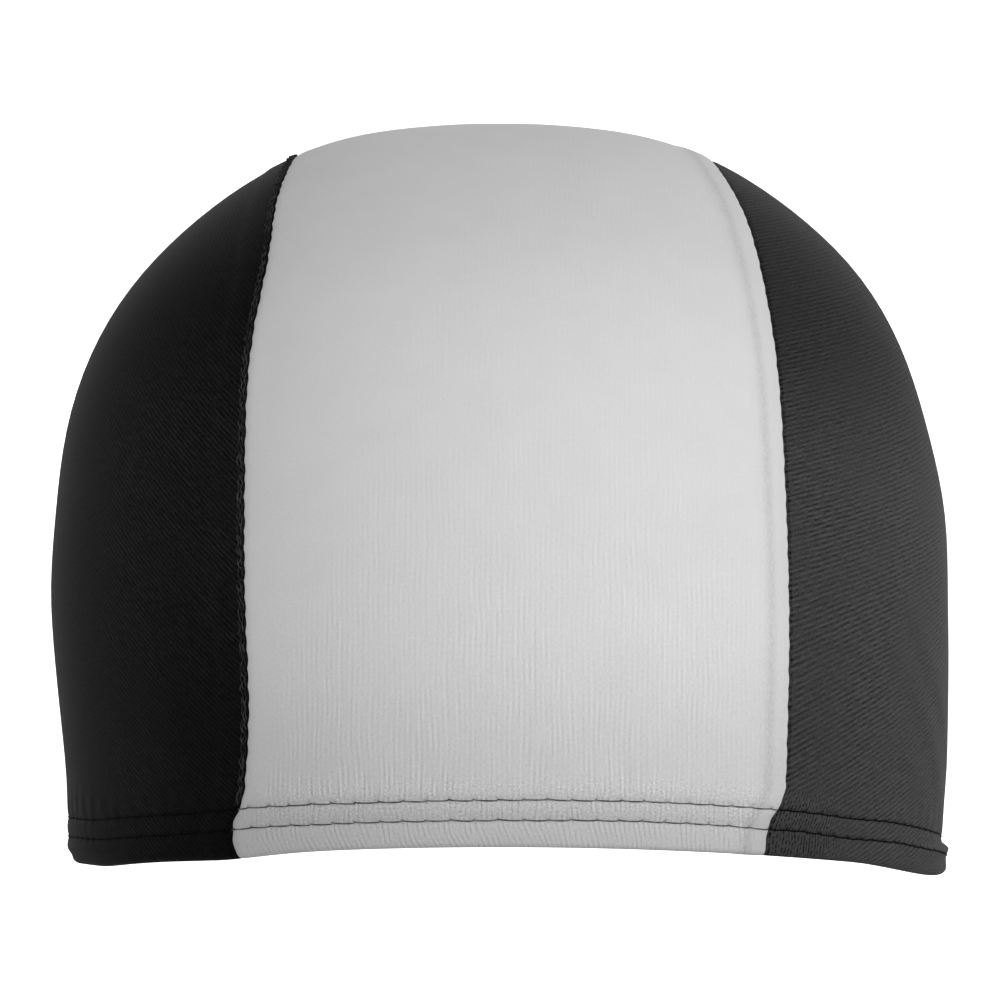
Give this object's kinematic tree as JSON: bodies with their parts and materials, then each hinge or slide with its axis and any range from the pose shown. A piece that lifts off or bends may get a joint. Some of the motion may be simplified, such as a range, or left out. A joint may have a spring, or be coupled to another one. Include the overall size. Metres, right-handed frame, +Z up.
{
  "type": "swim cap",
  "caption": "Fabric swim cap with a pale centre strip from brow to nape between dark side panels and a turned-up, double-stitched hem, in the form it has when worn",
  "frame": {"origin": "the centre of the head opening, level with the hem's edge at the sides", "axes": "+X is the right-hand side as seen from the front, +Y is the back, -Y is the front over the brow, +Z is up"},
  "size_m": [0.1595, 0.1939, 0.1332],
  "materials": {
    "pale_knit": "matte pale grey stretch knit with fine upright ribs",
    "black_knit": "matte black stretch knit",
    "charcoal_knit": "matte charcoal-black stretch knit",
    "seam_overlock": "overlocked raw edges in dark thread"
  },
  "bodies": {
    "root": {"centre_panel": "pale_knit", "left_panel": "black_knit", "right_panel": "charcoal_knit", "left_seam_allowance": "seam_overlock", "right_seam_allowance": "seam_overlock"}
  },
  "joints": []
}
